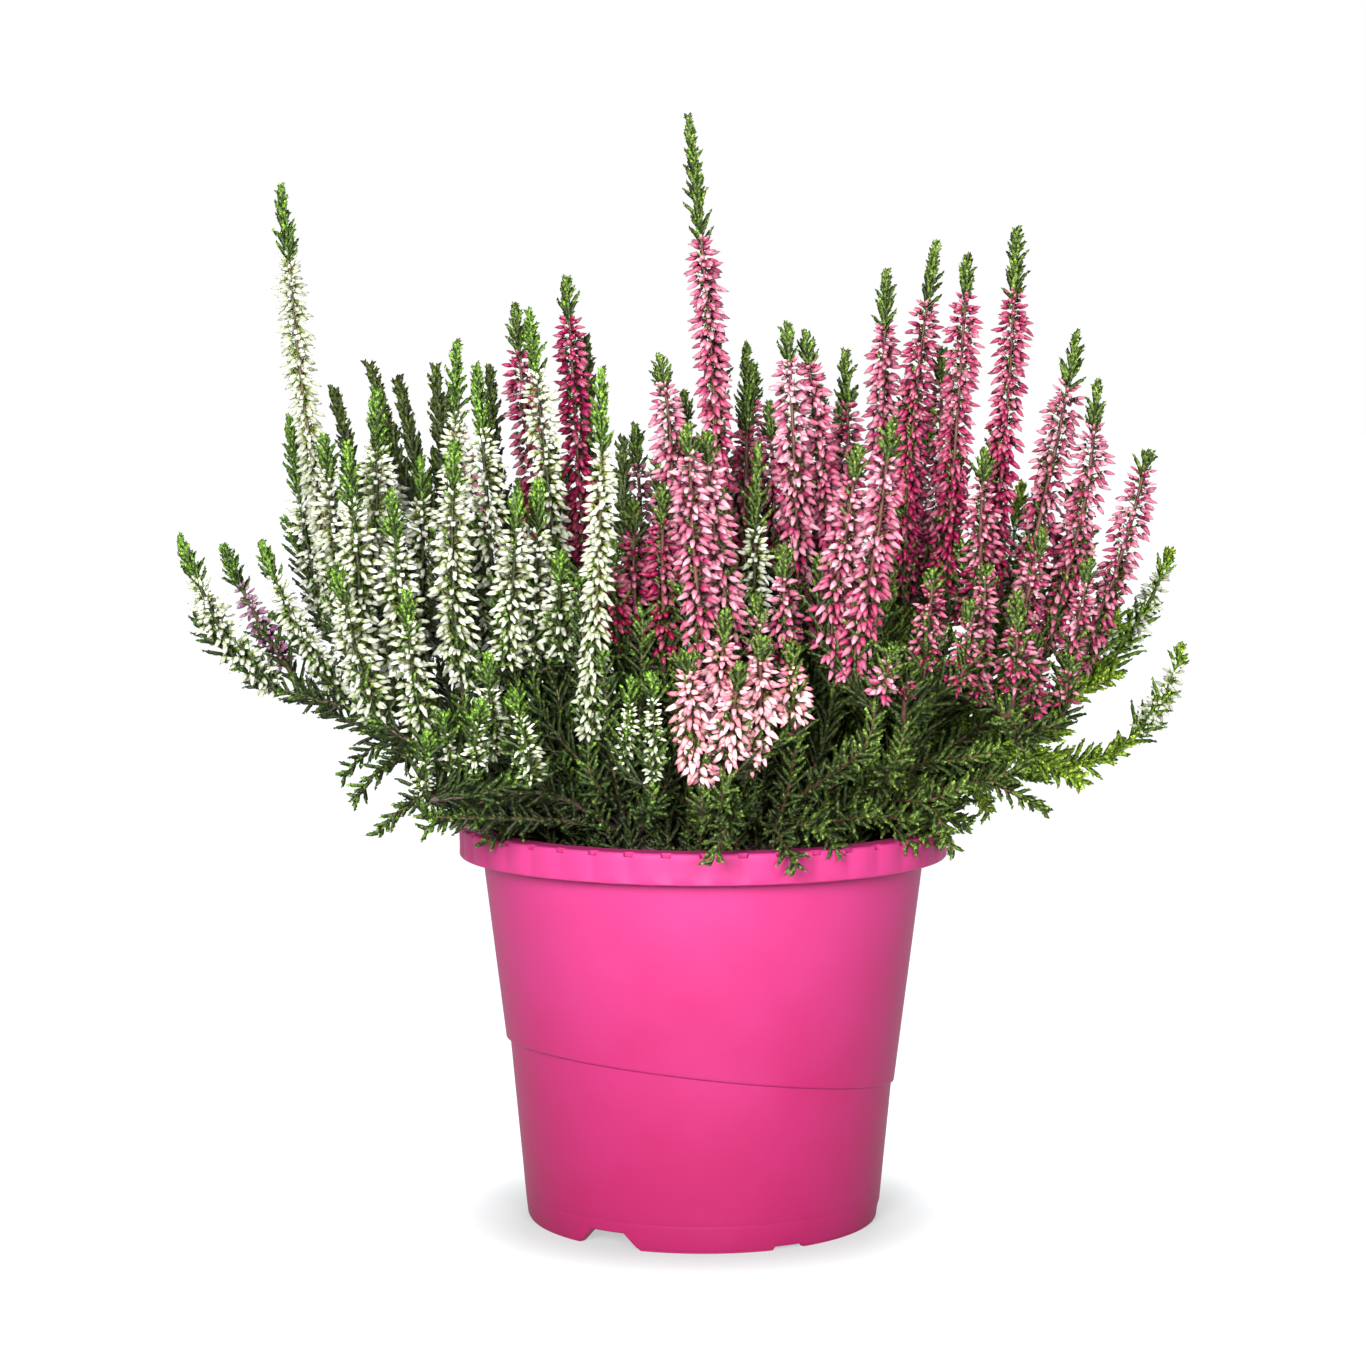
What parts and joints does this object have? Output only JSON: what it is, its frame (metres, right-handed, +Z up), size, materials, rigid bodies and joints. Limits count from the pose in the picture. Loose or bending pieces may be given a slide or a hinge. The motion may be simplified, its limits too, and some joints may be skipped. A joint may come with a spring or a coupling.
{
  "type": "potted heather",
  "caption": "Bushy potted heather with upright white and pink flower spikes in a tapered pink plastic pot.",
  "frame": {"origin": "on the surface that the pot stands on, at the pot's axis, which is the middle of the whole plant's outline", "axes": "+Z up along the pot's axis; -Y is the plant's front, as the picture shows it; +X is to the right in the picture"},
  "size_m": [0.351, 0.231, 0.3812],
  "materials": {
    "pot_plastic": "satin injection-moulded polypropylene",
    "peat": "damp crumbly peat",
    "leafy_stems": "living green shoots on reddish-brown woody twigs",
    "white": "white flower buds with yellow-green tips",
    "pale": "pale pink flower buds",
    "light": "pink flower buds with deeper tips",
    "mauve": "dull mauve flower buds",
    "deep": "deep pink flower buds"
  },
  "bodies": {
    "root": {"peat_root_ball": "peat", "pink_back_leafy_stems": "leafy_stems", "pink_back_left_leafy_stems": "leafy_stems", "pink_back_left_spikes.01": "light", "pink_back_left_spikes.02": "light", "pink_back_left_spikes.03": "deep", "pink_back_left_spikes.04": "light", "pink_back_spikes.01": "light", "pink_back_spikes.02": "light", "pink_back_spikes.03": "deep", "pink_back_spikes.04": "deep", "pink_back_spikes.05": "light", "pink_back_spikes.06": "light", "pink_back_spikes.07": "light", "pink_back_spikes.08": "deep", "pink_back_spikes.09": "light", "pink_back_spikes.10": "pale", "pink_front_leafy_stems": "leafy_stems", "pink_front_spikes.01": "deep", "pink_front_spikes.02": "light", "pink_front_spikes.03": "white", "pink_front_spikes.04": "light", "pink_front_spikes.05": "light", "pink_front_spikes.06": "pale", "pink_front_spikes.07": "pale", "pink_front_spikes.08": "light", "pink_right_leafy_stems": "leafy_stems", "pink_right_spikes.01": "light", "pink_right_spikes.02": "light", "pink_right_spikes.03": "light", "pink_right_spikes.04": "light", "pink_right_spikes.05": "light", "pink_right_spikes.06": "light", "pink_right_spikes.07": "light", "pink_right_spikes.08": "light", "pot": "pot_plastic", "white_front_leafy_stems": "leafy_stems", "white_front_spikes.01": "white", "white_front_spikes.02": "white", "white_front_spikes.03": "white", "white_front_spikes.04": "white", "white_front_spikes.05": "white", "white_front_spikes.06": "white", "white_front_spikes.07": "white", "white_front_spikes.08": "white", "white_left_leafy_stems": "leafy_stems", "white_left_spikes.01": "white", "white_left_spikes.02": "white", "white_left_spikes.03": "mauve", "white_left_spikes.04": "white", "white_left_spikes.05": "white", "white_left_spikes.06": "white", "white_left_spikes.07": "white", "white_left_spikes.08": "white", "white_right_leafy_stems": "leafy_stems", "white_right_spikes.01": "white", "white_right_spikes.02": "white", "white_right_spikes.03": "white", "white_right_spikes.04": "white", "white_right_spikes.05": "white"}
  },
  "joints": []
}
